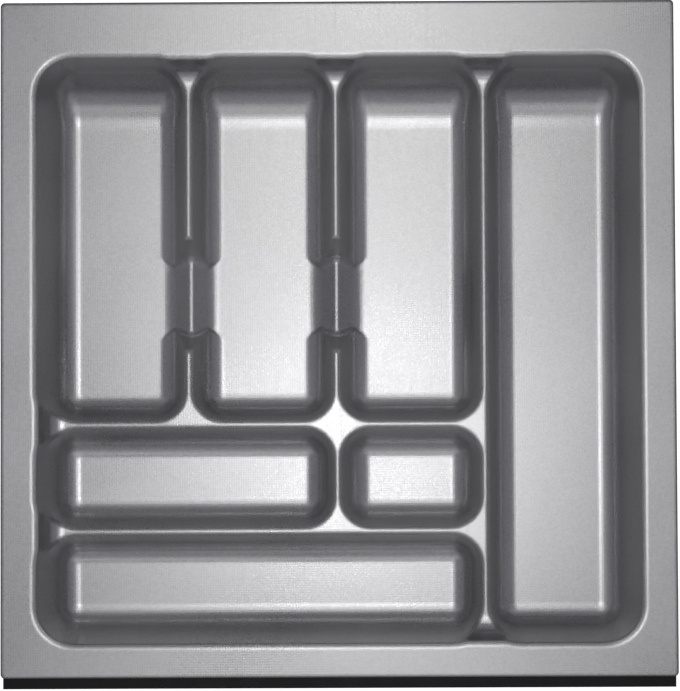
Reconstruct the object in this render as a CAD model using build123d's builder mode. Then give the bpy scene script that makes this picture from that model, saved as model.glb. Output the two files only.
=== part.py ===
from build123d import *
import os
from math import asin, cos, radians, sin, sqrt, tan

os.makedirs("parts", exist_ok=True)

# Overall size of the formed sheet
tray_width = 473.0
tray_depth = 474.0
tray_height = 50.0
sheet = 1.5
rim_corner = 3.0
draft = 16.0

# Widths of the flat rim round the pockets
side_rim = 24.4
rear_rim = 38.4
front_rim = 23.2

# Dividers: height of their ridges, width of a ridge and the easing of every crest
ridge_height = 32.5
ridge_width = 5.4
crest_chamfer = 1.7
rim_chamfer = 0.9

# Pocket bases
floor_corner = 12.5
floor_blend = 14.6
rear_scoop = 40.0
saddle_blend = 15.0

# Divider lines, measured from the middle of the tray
column_lines = (-106.2, -1.5, 103.4)
short_line = -1.0
upper_row_line = -59.8
lower_row_line = -135.4

# Rim bump where a divider runs into it
bump_depth = 1.5

# Finger notches in the first two dividers
notch_middle = 32.6
notch_half = 27.4
notch_height = 10.5
notch_arc = 14.6
notch_crest = 2.2
notch_reach = 34.0
notch_draft = 30.0
notch_blend = 6.0
notch_tilt = 33.0
notch_flare = 7.0
notch_shoulder = 14.2

# Black strip along the front edge
strip_reach = 7.7
strip_inset = 1.5
strip_wall = 1.6
strip_flange = 16.0
strip_leg = 15.0
strip_round = 0.7
tape_thickness = 0.5
tape_width = 10.0
tape_inset = 12.0

# Overrun of every cutting body past the face it opens
overrun = 2.0

# How crests are told from other edges: turn in degrees, upward tilt and the probe's reach
crest_angle = 6.0
facing_up = 0.01
half_share = 0.5
steep_share = 0.85
probe_reach = 0.05

# Derived: slopes and levels
slope = tan(radians(draft))
skin = sheet / cos(radians(draft))
base_grow = sheet * (1 - sin(radians(draft))) / cos(radians(draft))
tray_middle = strip_reach / 2
half_ridge = ridge_width / 2
floor_level = sheet
open_left = -tray_width / 2 + side_rim
open_right = tray_width / 2 - side_rim
open_rear = tray_middle + tray_depth / 2 - rear_rim
open_front = tray_middle - tray_depth / 2 + front_rim
rim_run = (tray_height - floor_level) * slope
ridge_run = (ridge_height - floor_level) * slope
upper_row = tray_middle + upper_row_line
lower_row = tray_middle + lower_row_line
notch_centre = tray_middle + notch_middle
mouth_corner = floor_corner + rim_run

# Pocket floors as left, right, front and rear sides
from_ridge = half_ridge + ridge_run
column_a, column_b, column_c = column_lines
floor_rear = open_rear - rim_run
floor_front = open_front + rim_run
floor_left = open_left + rim_run
floor_right = open_right - rim_run
pocket_floors = [
    (floor_left, column_a - from_ridge, upper_row + from_ridge, floor_rear),
    (column_a + from_ridge, column_b - from_ridge, upper_row + from_ridge, floor_rear),
    (column_b + from_ridge, column_c - from_ridge, upper_row + from_ridge, floor_rear),
    (column_c + from_ridge, floor_right, floor_front, floor_rear),
    (floor_left, short_line - from_ridge, lower_row + from_ridge, upper_row - from_ridge),
    (short_line + from_ridge, column_c - from_ridge, lower_row + from_ridge, upper_row - from_ridge),
    (floor_left, column_c - from_ridge, floor_front, lower_row - from_ridge),
]
pocket_scoops = [rear_scoop, rear_scoop, rear_scoop, rear_scoop, 0, 0, 0]


# The wedge that a deep scoop leaves between a pocket's floor and its rear wall
def scoop_wedge(left, right, rear, base, radius):
    angle = radians(90 - draft)
    reach = radius * tan(angle / 2)
    wall_y = rear + reach * sin(radians(draft))
    wall_z = base + reach * cos(radians(draft))
    back_y = wall_y + radius
    low_z = base - overrun
    centre_y = rear - reach
    centre_z = base + radius
    middle_y = centre_y + radius * sin(angle / 2)
    middle_z = centre_z - radius * cos(angle / 2)
    with BuildPart() as body:
        with BuildSketch(Plane.YZ.offset(left)):
            with BuildLine():
                ThreePointArc((centre_y, base), (middle_y, middle_z), (wall_y, wall_z))
                Polyline((wall_y, wall_z), (back_y, wall_z), (back_y, low_z), (centre_y, low_z), (centre_y, base))
            make_face()
        extrude(amount=right - left)
    return body.part


# The lower edges of a hollow, which the mould rounds: those below a level and not up a corner
def lower_edges(body, level):
    return [edge for edge in body.edges()
            if edge.bounding_box().max.Z < level and abs(edge.tangent_at(half_share).Z) < steep_share]


# A pocket's hollow: it widens from its base, with conical corners, a scooped rear and a rolled base
def pocket_hollow(left, right, front, rear, base, top, scoop):
    with BuildPart() as body:
        with BuildSketch(Plane.XY.offset(base)):
            with Locations(((left + right) / 2, (front + rear) / 2)):
                RectangleRounded(right - left, rear - front, floor_corner)
        extrude(amount=top - base, taper=-draft)
        if scoop:
            add(scoop_wedge(left - rim_run, right + rim_run, rear, base, scoop), mode=Mode.SUBTRACT)
        fillet(lower_edges(body, top - overrun), radius=floor_blend)
    return body.part


# The outside of a pocket's cup, one sheet larger all round, with a bevel that hugs the rolled base
def pocket_cup(left, right, front, rear, base, top, scoop):
    turn = radians(90 - draft) / 2
    bevel = (floor_blend + sheet) * (1 / cos(turn) - 1) / sin(turn)
    with BuildPart() as body:
        with BuildSketch(Plane.XY.offset(base)):
            with Locations(((left + right) / 2, (front + rear) / 2)):
                RectangleRounded(right - left + 2 * base_grow, rear - front + 2 * base_grow,
                                 floor_corner + base_grow)
        extrude(amount=top - base, taper=-draft)
        chamfer(body.edges().group_by(Axis.Z)[0], length=bevel)
        if scoop:
            add(scoop_wedge(left - rim_run, right + rim_run, rear + base_grow, base, scoop + sheet),
                mode=Mode.SUBTRACT)
    return body.part


# The shared mouth above the ridges, a little inside the pocket walls, with a rolled base edge
def mouth(bottom, top, grow, blend):
    spread = grow - bump_depth + (bottom - tray_height) * slope
    wide = open_right - open_left + 2 * spread
    deep = open_rear - open_front + 2 * spread
    with BuildPart() as body:
        with BuildSketch(Plane.XY.offset(bottom)):
            with Locations(((open_left + open_right) / 2, (open_rear + open_front) / 2)):
                RectangleRounded(wide, deep, mouth_corner + spread)
        extrude(amount=top - bottom, taper=-draft)
        fillet(body.edges().group_by(Axis.Z)[0], radius=blend)
    return body.part


# A finger notch's hollow on one divider: flanks that run down from its crest and roll out onto the
# floors, sloped ends with a rolled foot, and shoulders that flare where the flanks end
def notch_tub(line_x, top, thick, grow):
    base = floor_level - thick
    crest = notch_height - thick
    arc = notch_arc + thick
    tilt = radians(notch_tilt)
    hub_z = floor_level + notch_arc
    flank_rise = notch_height - floor_level - notch_arc * (1 - cos(tilt))
    hub_x = notch_crest / 2 + flank_rise / tan(tilt) + notch_arc * sin(tilt)
    crest_x = notch_crest / 2 - thick * (1 / cos(tilt) - 1) / tan(tilt)
    foot_x = hub_x - arc * sin(tilt)
    foot_z = hub_z - arc * cos(tilt)
    bend_x = hub_x - arc * sin(tilt / 2)
    bend_z = hub_z - arc * cos(tilt / 2)
    end_slope = tan(radians(notch_draft))
    base_half = notch_half + grow - (notch_height - base) * end_slope
    long_half = base_half + (top - base) * end_slope + notch_flare
    side_plane = Plane(origin=(line_x, notch_centre + long_half, 0), x_dir=(1, 0, 0), z_dir=(0, -1, 0))
    with BuildSketch(side_plane) as profile:
        with BuildLine():
            Line((-notch_reach, base), (-hub_x, base))
            ThreePointArc((-hub_x, base), (-bend_x, bend_z), (-foot_x, foot_z))
            Polyline((-foot_x, foot_z), (-crest_x, crest), (crest_x, crest), (foot_x, foot_z))
            ThreePointArc((foot_x, foot_z), (bend_x, bend_z), (hub_x, base))
            Polyline((hub_x, base), (notch_reach, base), (notch_reach, top),
                     (-notch_reach, top), (-notch_reach, base))
        make_face()
    corner_x = notch_shoulder - grow * (sqrt(2) - 1)
    inner = corner_x - notch_flare * half_share
    outer = corner_x + notch_flare
    near = base_half - notch_flare * half_share
    far = base_half + notch_flare
    with BuildPart() as body:
        extrude(profile.sketch, amount=2 * long_half, dir=(0, -1, 0))
        with BuildSketch(Plane.XY.offset(base)):
            with Locations((line_x, notch_centre)):
                Rectangle(2 * (notch_reach + top), 2 * base_half)
        extrude(amount=top - base, taper=-notch_draft, mode=Mode.INTERSECT)
        if not thick:
            ends = [edge for edge in lower_edges(body, top - overrun)
                    if abs(edge.position_at(half_share).Y - notch_centre) > notch_half * half_share]
            fillet(ends, radius=notch_blend)
    with BuildPart() as flares:
        extrude(profile.sketch, amount=2 * long_half, dir=(0, -1, 0))
        with BuildSketch(Plane.XY.offset(base)):
            with BuildLine():
                Polyline((line_x + inner, notch_centre - near), (line_x + outer, notch_centre - far),
                         (line_x + notch_reach + top, notch_centre - far),
                         (line_x + notch_reach + top, notch_centre + far),
                         (line_x + outer, notch_centre + far), (line_x + inner, notch_centre + near),
                         close=True)
            make_face()
        extrude(amount=top - base, taper=-notch_draft, mode=Mode.INTERSECT)
    with BuildPart() as cut:
        add(body.part)
        add(flares.part)
        add(flares.part.mirror(Plane.YZ.offset(line_x)))
    return cut.part


# The hollows of the tray, or with one sheet of growth the outside of its cups
def tray_solids(make_pocket, base, top, thick, grow):
    solids = []
    for (left, right, front, rear), scoop in zip(pocket_floors, pocket_scoops):
        solids.append(make_pocket(left, right, front, rear, base, top, scoop))
    for line_x in (column_a, column_b):
        solids.append(notch_tub(line_x, top, thick, grow))
    solids.append(mouth(ridge_height - thick, top, grow, saddle_blend + thick))
    return solids


# The crests from the ridges up: sharp outward corners between two faces that look upwards
def crests(body):
    owners = {}
    for face in body.faces():
        for edge in face.edges():
            owners.setdefault(edge, []).append(face)
    found = []
    for edge, faces in owners.items():
        if len(faces) != 2:
            continue
        middle = edge.position_at(half_share)
        first, second = (face.normal_at(middle) for face in faces)
        if min(first.Z, second.Z) < facing_up or first.get_angle(second) < crest_angle:
            continue
        probe = middle + (first - second) * probe_reach
        if middle.Z > ridge_height - probe_reach and not body.is_inside(probe):
            found.append(edge)
    return found


# The rim's inner edges, which the crest chamfer leaves on the rim's top
def rim_edges(body):
    found = []
    for edge in body.edges():
        middle = edge.position_at(half_share)
        inside = open_left - side_rim / 2 < middle.X < open_right + side_rim / 2
        if inside and open_front - front_rim / 2 < middle.Y < open_rear + rear_rim / 2:
            if edge.bounding_box().min.Z > tray_height - probe_reach:
                found.append(edge)
    return found


# The formed sheet: rim plate and cups, hollowed by the pockets, the notches and the mouth
cups = tray_solids(pocket_cup, 0, tray_height, sheet, skin)
hollows = tray_solids(pocket_hollow, floor_level, tray_height + overrun, 0, 0)
with BuildPart() as tray_shell:
    with BuildSketch(Plane.XY.offset(tray_height - sheet)):
        with Locations((0, tray_middle)):
            RectangleRounded(tray_width, tray_depth, rim_corner)
    extrude(amount=sheet)
    for cup in cups:
        add(cup)
    for hollow in hollows:
        add(hollow, mode=Mode.SUBTRACT)
    chamfer(crests(tray_shell.part.solid()), length=crest_chamfer)
    chamfer(rim_edges(tray_shell.part), length=rim_chamfer)
tray_shell.part.label = "tray_shell"
export_step(tray_shell.part, "parts/tray_shell.step")

# The black strip: a flange under the front rim and a leg that hangs ahead of it
strip_length = tray_width - 2 * strip_inset
rim_front = tray_middle - tray_depth / 2
strip_front = rim_front - strip_reach
strip_top = tray_height - sheet - tape_thickness
strip_back = rim_front + strip_flange
with BuildPart() as front_strip:
    with BuildSketch(Plane.YZ.offset(-strip_length / 2)):
        with BuildLine():
            Polyline((strip_back, strip_top), (strip_back, strip_top - strip_wall),
                     (strip_front + strip_wall, strip_top - strip_wall),
                     (strip_front + strip_wall, strip_top - strip_leg),
                     (strip_front, strip_top - strip_leg),
                     (strip_front, strip_top), (strip_back, strip_top))
        make_face()
    extrude(amount=strip_length)
    fillet(front_strip.edges().filter_by(Axis.X), radius=strip_round)
front_strip.part.label = "front_strip"
export_step(front_strip.part, "parts/front_strip.step")

# The double-sided tape between the strip's flange and the underside of the rim
with BuildPart() as strip_tape:
    with BuildSketch(Plane.XY.offset(strip_top)):
        with Locations((0, rim_front + strip_flange / 2)):
            Rectangle(strip_length - 2 * tape_inset, tape_width)
    extrude(amount=tape_thickness)
strip_tape.part.label = "strip_tape"
export_step(strip_tape.part, "parts/strip_tape.step")
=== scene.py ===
# %% [markdown]
# # A cutlery tray, dressed for its photograph
#
# The real tray is one thin sheet of silver plastic. The sheet is warmed until it is limp, laid over
# a mould and drawn down by vacuum, so the rim, the seven pockets and the dividers are all one
# piece. A black strip is taped under the front of the rim. The solids of these pieces come ready
# made, so nothing is moved or resized here. This lesson gives them their finishes, lights them
# softly and sets up the camera.

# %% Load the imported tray
from math import pi, radians

import bpy
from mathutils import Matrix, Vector

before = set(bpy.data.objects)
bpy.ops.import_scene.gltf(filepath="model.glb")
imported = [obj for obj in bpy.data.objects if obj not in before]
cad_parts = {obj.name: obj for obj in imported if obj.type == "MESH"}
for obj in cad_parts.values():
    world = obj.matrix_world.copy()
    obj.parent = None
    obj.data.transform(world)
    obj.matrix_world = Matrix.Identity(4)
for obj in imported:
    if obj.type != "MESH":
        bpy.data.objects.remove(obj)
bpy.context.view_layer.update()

# %% [markdown]
# ## A workshop for finishes
#
# Every finish below is a small tree of nodes that ends in Blender's Principled shader. Four
# helpers keep the recipes short: one starts a finish, one places a node and wires its inputs, one
# turns a real pitch in metres into the scale that a wave texture wants, and one spreads a value
# over a new range. The textures read object coordinates, which are metres here, so a grain of one
# millimetre is really that fine.

# %% Start a finish
def start_finish(name):
    finish = bpy.data.materials.new(name)
    finish.use_nodes = True
    tree = finish.node_tree
    return finish, tree, tree.nodes["Principled BSDF"]


# %% Place a node and wire what feeds it
def place(tree, kind, feeds=None, **settings):
    made = tree.nodes.new(kind)
    for setting, value in settings.items():
        setattr(made, setting, value)
    for socket, value in (feeds or {}).items():
        if isinstance(value, bpy.types.NodeSocket):
            tree.links.new(value, made.inputs[socket])
        else:
            made.inputs[socket].default_value = value
    return made


# %% Turn a pitch into a wave scale
WAVE_ROOM = 2 * pi / 20


def wave_scale(pitch):
    return WAVE_ROOM / pitch


print("A wave of scale 1 repeats every", round(WAVE_ROOM, 3), "m")


# %% Spread a value over a new range
def spread(tree, value, low, high, start=0.0, end=1.0):
    ranged = place(tree, "ShaderNodeMapRange", {
        "Value": value, "From Min": start, "From Max": end, "To Min": low, "To Max": high})
    return ranged.outputs["Result"]


# %% [markdown]
# ## The silver sheet
#
# The sheet is polystyrene with fine metal flake in it, so it shines like brushed aluminium without
# being metal. Before it is formed it is rolled with a linen grain, two sets of fine ribs that cross
# at right angles. The grain could be modelled, but at a millimetre across it would cost millions
# of faces, and it is never seen in outline. So it is drawn as bump: two wave textures for the ribs
# and a noise for the sand between them.

# %% Linen grain
RIB_PITCH = 0.0017
RIB_SWAY = 2.4
RIB_SHARE = 0.5
SAND_SIZE = 0.0011


def linen_grain(tree, spot):
    ribs = []
    for direction in ("X", "Y"):
        rib = place(tree, "ShaderNodeTexWave", {
            "Vector": spot, "Scale": wave_scale(RIB_PITCH), "Distortion": RIB_SWAY,
            "Detail": 2.0, "Detail Scale": 1.4}, bands_direction=direction)
        ribs.append(rib.outputs["Fac"])
    woven = place(tree, "ShaderNodeMath", {0: ribs[0], 1: ribs[1]}, operation="ADD")
    sand = place(tree, "ShaderNodeTexNoise", {
        "Vector": spot, "Scale": 1 / SAND_SIZE, "Detail": 3.0, "Roughness": 0.6})
    grain = place(tree, "ShaderNodeMath", {
        0: woven.outputs[0], 1: RIB_SHARE, 2: sand.outputs["Fac"]}, operation="MULTIPLY_ADD")
    return grain.outputs[0], sand.outputs["Fac"]


# %% [markdown]
# Cutlery that slides to and fro leaves hair-fine marks along each pocket. A noise that is squeezed
# across and stretched along the tray gives streaks, and only its highest crests are kept.

# %% Hairline marks
STREAK_WIDTH = 0.0012
STREAK_LENGTH = 0.09
STREAK_FROM, STREAK_TO = 0.62, 0.78


def hairlines(tree, spot):
    squeezed = place(tree, "ShaderNodeMapping", {
        "Vector": spot, "Scale": (1 / STREAK_WIDTH, 1 / STREAK_LENGTH, 1 / STREAK_LENGTH)})
    streak = place(tree, "ShaderNodeTexNoise", {
        "Vector": squeezed.outputs["Vector"], "Scale": 1.0, "Detail": 2.0})
    return spread(tree, streak.outputs["Fac"], 0.0, 1.0, STREAK_FROM, STREAK_TO)


# %% [markdown]
# Where the sheet is pulled over a crest it is thinner and hands rub it, so the flake there looks
# a little paler; this paler colour is also a painted highlight along every crest. Blender's
# pointiness value is high on such outward bends. Most of the mirroring is done by the flake, so
# the shader is told that the sheet is nearly a metal. The Bevel node rounds the light on every
# crest, and leaves the crest itself as it is.

# %% Silver sheet
SHEET_DARK = (0.465, 0.463, 0.472, 1)
SHEET_PALE = (0.625, 0.622, 0.630, 1)
# Paler crest colour: partly rubbed wear, partly a painted highlight along the crests.
SHEET_WEAR_AND_HIGHLIGHT = (0.66, 0.66, 0.66, 1)
FLAKE_SIZE = 0.0012
CLOUD_SIZE = 0.12
GLINT_WEIGHT = 0.35
SAND_WEIGHT = 1.2
SHADE_FROM, SHADE_TO = 0.85, 1.75
WEAR_AND_HIGHLIGHT_AMOUNT = 0.7
WEAR_AND_HIGHLIGHT_FROM, WEAR_AND_HIGHLIGHT_TO = 0.52, 0.58
CLOUD_DULL_LOW, CLOUD_DULL_HIGH = 0.28, 0.34
SAND_DULL = 0.05
MARK_DULL = 0.06
CREST_ROUND = 0.0034
GRAIN_DEPTH = 0.000035
GRAIN_STRENGTH = 0.5
FLAKE_METAL = 0.94


def silver_sheet():
    finish, tree, shader = start_finish("silver_sheet_finish")
    spot = place(tree, "ShaderNodeTexCoord").outputs["Object"]
    grain, sand = linen_grain(tree, spot)
    marks = hairlines(tree, spot)

    flake = place(tree, "ShaderNodeTexVoronoi", {"Vector": spot, "Scale": 1 / FLAKE_SIZE})
    cloud = place(tree, "ShaderNodeTexNoise", {
        "Vector": spot, "Scale": 1 / CLOUD_SIZE, "Detail": 2.0})
    glint = place(tree, "ShaderNodeSeparateColor", {"Color": flake.outputs["Color"]})
    mixed = place(tree, "ShaderNodeMath", {
        0: glint.outputs["Red"], 1: GLINT_WEIGHT, 2: cloud.outputs["Fac"]}, operation="MULTIPLY_ADD")
    sandy = place(tree, "ShaderNodeMath", {
        0: sand, 1: SAND_WEIGHT, 2: mixed.outputs[0]}, operation="MULTIPLY_ADD")
    shade = place(tree, "ShaderNodeMix", {
        "Factor": spread(tree, sandy.outputs[0], 0.0, 1.0, SHADE_FROM, SHADE_TO),
        "A": SHEET_DARK, "B": SHEET_PALE}, data_type="RGBA")
    bend = place(tree, "ShaderNodeNewGeometry").outputs["Pointiness"]
    # Outward bends are painted paler: partly rubbed wear, partly painted highlight on the crests.
    wear_and_highlight = place(tree, "ShaderNodeMix", {
        "Factor": spread(tree, bend, 0.0, WEAR_AND_HIGHLIGHT_AMOUNT, WEAR_AND_HIGHLIGHT_FROM, WEAR_AND_HIGHLIGHT_TO),
        "A": shade.outputs["Result"], "B": SHEET_WEAR_AND_HIGHLIGHT}, data_type="RGBA")
    tree.links.new(wear_and_highlight.outputs["Result"], shader.inputs["Base Color"])

    dull = place(tree, "ShaderNodeMath", {
        0: spread(tree, cloud.outputs["Fac"], CLOUD_DULL_LOW, CLOUD_DULL_HIGH, 0.3, 0.7),
        1: spread(tree, sand, -SAND_DULL, SAND_DULL, 0.25, 0.75)}, operation="ADD")
    scuffed = place(tree, "ShaderNodeMath", {
        0: marks, 1: MARK_DULL, 2: dull.outputs[0]}, operation="MULTIPLY_ADD")
    tree.links.new(scuffed.outputs[0], shader.inputs["Roughness"])

    eased = place(tree, "ShaderNodeBevel", {"Radius": CREST_ROUND}, samples=8)
    pressed = place(tree, "ShaderNodeBump", {
        "Strength": GRAIN_STRENGTH, "Distance": GRAIN_DEPTH, "Height": grain,
        "Normal": eased.outputs["Normal"]})
    tree.links.new(pressed.outputs["Normal"], shader.inputs["Normal"])
    shader.inputs["Metallic"].default_value = FLAKE_METAL
    return finish


sheet_finish = silver_sheet()
print("Silver sheet:", len(sheet_finish.node_tree.nodes), "nodes")

# %% [markdown]
# ## The black strip
#
# The strip is squeezed hot through a steel die, and the die leaves faint lines along its whole
# length. The same lines could be cut into the mesh, but they are a few hundredths of a millimetre
# deep, so a wave texture that runs across the profile is enough. A little dust and handling
# makes the black uneven.

# %% Black extruded strip
STRIP_BLACK = (0.004, 0.004, 0.0045, 1)
STRIP_DUSTY = (0.014, 0.014, 0.015, 1)
DUST_PER_METRE = 60.0
DUST_AMOUNT = 0.6
DIE_LINE_PITCH = 0.0009
DIE_LINE_SWAY = 0.4
DIE_LINE_DEPTH = 0.00003
DIE_LINE_STRENGTH = 0.5
STRIP_SHINE = 0.25


def die_lines(tree, spot, direction):
    return place(tree, "ShaderNodeTexWave", {
        "Vector": spot, "Scale": wave_scale(DIE_LINE_PITCH), "Distortion": DIE_LINE_SWAY},
        bands_direction=direction)


def black_strip():
    finish, tree, shader = start_finish("black_strip_finish")
    spot = place(tree, "ShaderNodeTexCoord").outputs["Object"]
    dust = place(tree, "ShaderNodeTexNoise", {
        "Vector": spot, "Scale": DUST_PER_METRE, "Detail": 5.0})
    shade = place(tree, "ShaderNodeMix", {
        "Factor": spread(tree, dust.outputs["Fac"], 0.0, DUST_AMOUNT, 0.45, 0.8),
        "A": STRIP_BLACK, "B": STRIP_DUSTY}, data_type="RGBA")
    tree.links.new(shade.outputs["Result"], shader.inputs["Base Color"])
    tree.links.new(spread(tree, dust.outputs["Fac"], 0.38, 0.55, 0.3, 0.7),
                   shader.inputs["Roughness"])
    lines = place(tree, "ShaderNodeMath", {
        0: die_lines(tree, spot, "Y").outputs["Fac"],
        1: die_lines(tree, spot, "Z").outputs["Fac"]}, operation="ADD")
    drawn = place(tree, "ShaderNodeBump", {
        "Strength": DIE_LINE_STRENGTH, "Distance": DIE_LINE_DEPTH, "Height": lines.outputs[0]})
    tree.links.new(drawn.outputs["Normal"], shader.inputs["Normal"])
    shader.inputs["Specular IOR Level"].default_value = STRIP_SHINE
    return finish


strip_finish = black_strip()
print("Black strip:", len(strip_finish.node_tree.nodes), "nodes")

# %% [markdown]
# ## The tape
#
# Double-sided foam tape holds the strip. It only shows as a pale line from below, so it gets a
# simple foam: small cells that lift and lower the surface and tint it slightly.

# %% Foam tape
TAPE_PALE = (0.72, 0.71, 0.67, 1)
TAPE_SHADE = (0.58, 0.57, 0.53, 1)
CELL_SIZE = 0.0006
CELL_DEPTH = 0.0001
CELL_STRENGTH = 0.6


def foam_tape():
    finish, tree, shader = start_finish("foam_tape_finish")
    spot = place(tree, "ShaderNodeTexCoord").outputs["Object"]
    cells = place(tree, "ShaderNodeTexVoronoi", {"Vector": spot, "Scale": 1 / CELL_SIZE})
    shade = place(tree, "ShaderNodeMix", {
        "Factor": cells.outputs["Distance"], "A": TAPE_PALE, "B": TAPE_SHADE}, data_type="RGBA")
    tree.links.new(shade.outputs["Result"], shader.inputs["Base Color"])
    tree.links.new(spread(tree, cells.outputs["Distance"], 0.7, 0.9), shader.inputs["Roughness"])
    foamed = place(tree, "ShaderNodeBump", {
        "Strength": CELL_STRENGTH, "Distance": CELL_DEPTH, "Height": cells.outputs["Distance"]})
    tree.links.new(foamed.outputs["Normal"], shader.inputs["Normal"])
    return finish


tape_finish = foam_tape()
print("Foam tape:", len(tape_finish.node_tree.nodes), "nodes")

# %% [markdown]
# ## Giving each solid its finish
#
# The solids already have the right shape, so they stay as they are, and only the plain colour in
# each material slot is swapped for its finish.

# %% Dress the solids
finishes = {"tray_shell": sheet_finish, "front_strip": strip_finish, "strip_tape": tape_finish}
for node_name, finish in finishes.items():
    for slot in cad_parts[node_name].material_slots:
        slot.material = finish
    print(node_name, "wears", finish.name)

# %% [markdown]
# ## The floor
#
# The photograph has a plain white ground. A pale floor under soft light would come out grey, so
# the floor also glows a little, but only for rays that come straight from the camera or from a
# reflection. It still takes the tray's shadow, and it adds no light to the tray. Seen from below it
# is clear, so that the underside can be looked at.

# %% White floor
FLOOR_SIDE = 12.0
FLOOR_PALE = (0.85, 0.85, 0.85, 1)
FLOOR_MATT = 0.9
FLOOR_GLOW = 0.9
FLOOR_GAP = 0.0002


def white_floor():
    bpy.ops.mesh.primitive_plane_add(size=FLOOR_SIDE, location=(0, 0, -FLOOR_GAP))
    ground = bpy.context.object
    ground.name = "white_floor"
    finish, tree, shader = start_finish("white_floor_finish")
    shader.inputs["Base Color"].default_value = FLOOR_PALE
    shader.inputs["Roughness"].default_value = FLOOR_MATT
    ray = place(tree, "ShaderNodeLightPath").outputs
    seen = place(tree, "ShaderNodeMath", {
        0: ray["Is Camera Ray"], 1: ray["Is Glossy Ray"]}, operation="MAXIMUM")
    seen = place(tree, "ShaderNodeMath", {
        0: seen.outputs[0], 1: ray["Is Transmission Ray"]}, operation="MAXIMUM")
    glow = place(tree, "ShaderNodeMath", {0: seen.outputs[0], 1: FLOOR_GLOW}, operation="MULTIPLY")
    shader.inputs["Emission Color"].default_value = (1, 1, 1, 1)
    tree.links.new(glow.outputs[0], shader.inputs["Emission Strength"])
    under = place(tree, "ShaderNodeMath", {
        0: ray["Is Camera Ray"], 1: place(tree, "ShaderNodeNewGeometry").outputs["Backfacing"]},
        operation="MULTIPLY")
    cut_away = place(tree, "ShaderNodeMixShader", {
        0: under.outputs[0], 1: shader.outputs["BSDF"],
        2: place(tree, "ShaderNodeBsdfTransparent").outputs["BSDF"]})
    tree.links.new(cut_away.outputs["Shader"], tree.nodes["Material Output"].inputs["Surface"])
    ground.data.materials.append(finish)
    return ground


floor = white_floor()
print("Floor:", FLOOR_SIDE, "m square")

# %% [markdown]
# ## Soft studio light
#
# In the photograph the bases of the pockets glow, brightest near the middle of the tray, and the
# steep walls stay dark. That is a soft box straight overhead in a dim room: flat faces mirror the
# box, and walls mirror the dim room. The rear of the tray is lighter than the front, so a second
# box hangs behind the first, and a wide, weak one fills in what they leave. A narrow box that
# hangs ahead of the tray is what the rear scoops mirror: they brighten little by little from the
# wall down to the base.

# %% Hang a soft box
def soft_box(name, place_at, width, depth, watts, aim=(0, 0, 0)):
    lamp = bpy.data.lights.new(name, "AREA")
    lamp.shape = "RECTANGLE"
    lamp.size = width
    lamp.size_y = depth
    lamp.energy = watts
    holder = bpy.data.objects.new(name, lamp)
    holder.location = place_at
    holder.rotation_euler = (Vector(aim) - Vector(place_at)).to_track_quat("-Z", "Y").to_euler()
    bpy.context.scene.collection.objects.link(holder)
    return holder


# %% Four boxes overhead
# Each row gives a box's place, its width and depth, its power and the point that it faces.
OVERHEAD_BOXES = {
    "main": ((0.0, -0.03, 1.50), (0.25, 0.28), 1.32, (0.0, -0.03, 0.0)),
    "rear": ((0.0, 0.52, 1.50), (0.45, 0.45), 0.82, (0.0, 0.52, 0.0)),
    "wide": ((0.0, 0.16, 1.60), (1.00, 1.20), 2.80, (0.0, 0.16, 0.0)),
    "scoop": ((0.0, -0.80, 1.50), (1.20, 0.35), 0.95, (0.0, 0.10, 0.0)),
}
REAR_TINT = (1.0, 0.99, 0.97)
overhead = {}
for name, (hung_at, (width, depth), watts, faces) in OVERHEAD_BOXES.items():
    overhead[name] = soft_box(name + "_soft_box", hung_at, width, depth, watts, aim=faces)
overhead["rear"].data.color = REAR_TINT
print("Overhead boxes:", round(sum(box.data.energy for box in overhead.values()), 2), "W")

# %% [markdown]
# Four large, weak boxes stand round the tray at about forty degrees. They light the rolled foot of
# every wall, which the overhead boxes miss, and they show the silver when the tray is seen from
# the side.

# %% Four boxes round the tray
ROUND_AWAY = 1.8
ROUND_HIGH = 1.7
ROUND_WIDE = 3.6
ROUND_TALL = 2.2
ROUND_TINT = (0.97, 0.97, 1.04)
for name, east, north, watts in (("fore", 0, -1, 5.6), ("back", 0, 1, 3.8),
                                 ("left", -1, 0, 4.0), ("right", 1, 0, 4.0)):
    stand = (east * ROUND_AWAY, north * ROUND_AWAY, ROUND_HIGH)
    round_box = soft_box(name + "_soft_box", stand, ROUND_WIDE, ROUND_TALL, watts)
    round_box.data.color = ROUND_TINT
    print(name, "box:", watts, "W")

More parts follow.
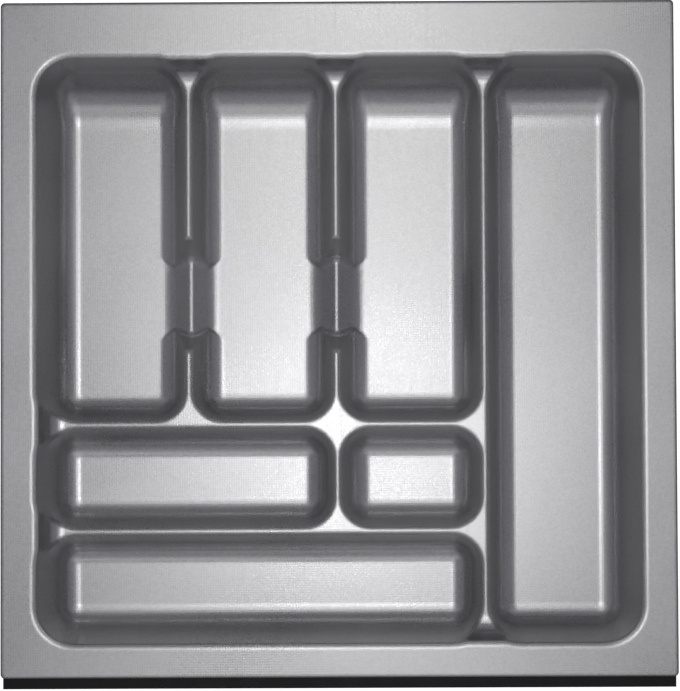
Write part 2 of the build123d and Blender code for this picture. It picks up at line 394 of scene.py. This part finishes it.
# %% [markdown]
# The room itself is dim. Only the camera sees it as white, like the paper of the photograph's
# ground, so a low view has a plain background too.

# %% Dim room, white for the camera
ROOM_LEVEL = 0.05
ROOM_TINT = (0.97, 0.96, 1.06, 1)
ROOM_SEEN = 1.0
room = bpy.data.worlds.new("dim_room")
room.use_nodes = True
room_tree = room.node_tree
seen_room = place(room_tree, "ShaderNodeLightPath").outputs["Is Camera Ray"]
room_colour = place(room_tree, "ShaderNodeMix", {
    "Factor": seen_room, "A": ROOM_TINT, "B": (1, 1, 1, 1)}, data_type="RGBA")
room_light = room_tree.nodes["Background"]
room_tree.links.new(room_colour.outputs["Result"], room_light.inputs["Color"])
room_tree.links.new(spread(room_tree, seen_room, ROOM_LEVEL, ROOM_SEEN), room_light.inputs["Strength"])
bpy.context.scene.world = room
print("Room level:", ROOM_LEVEL)

# %% [markdown]
# ## The camera
#
# The photograph looks straight down from about a metre and a half. The tray's outline is square
# in it, and the sloping walls of the pockets show on all four sides, a little more at the back
# than at the front, so the camera stands over the front half of the tray. A small lens shift
# brings the whole tray into the frame and leaves its outline square. The turns are small angles
# in radians: the photographer's camera wasn't quite level.

# %% Camera above the tray
CAMERA_PLACE = (0.020, -0.100, 1.500)
CAMERA_TURN = (0.026390, 0.004661, -0.004327)
CAMERA_VIEW = radians(18.9117)
CAMERA_SHIFT = (-0.02550, 0.12438)
camera_data = bpy.data.cameras.new("overhead_camera")
camera_data.angle = CAMERA_VIEW
camera_data.shift_x, camera_data.shift_y = CAMERA_SHIFT
camera = bpy.data.objects.new("overhead_camera", camera_data)
camera.location = CAMERA_PLACE
camera.rotation_euler = CAMERA_TURN
bpy.context.scene.collection.objects.link(camera)
bpy.context.scene.camera = camera
print("Lens:", round(camera_data.lens, 1), "mm")

# %% [markdown]
# ## The view transform
#
# The tray keeps the size of its solids. The view transform is set to Standard, which shows each
# colour about as it was mixed.

# %% Standard view transform
bpy.context.scene.view_settings.view_transform = "Standard"
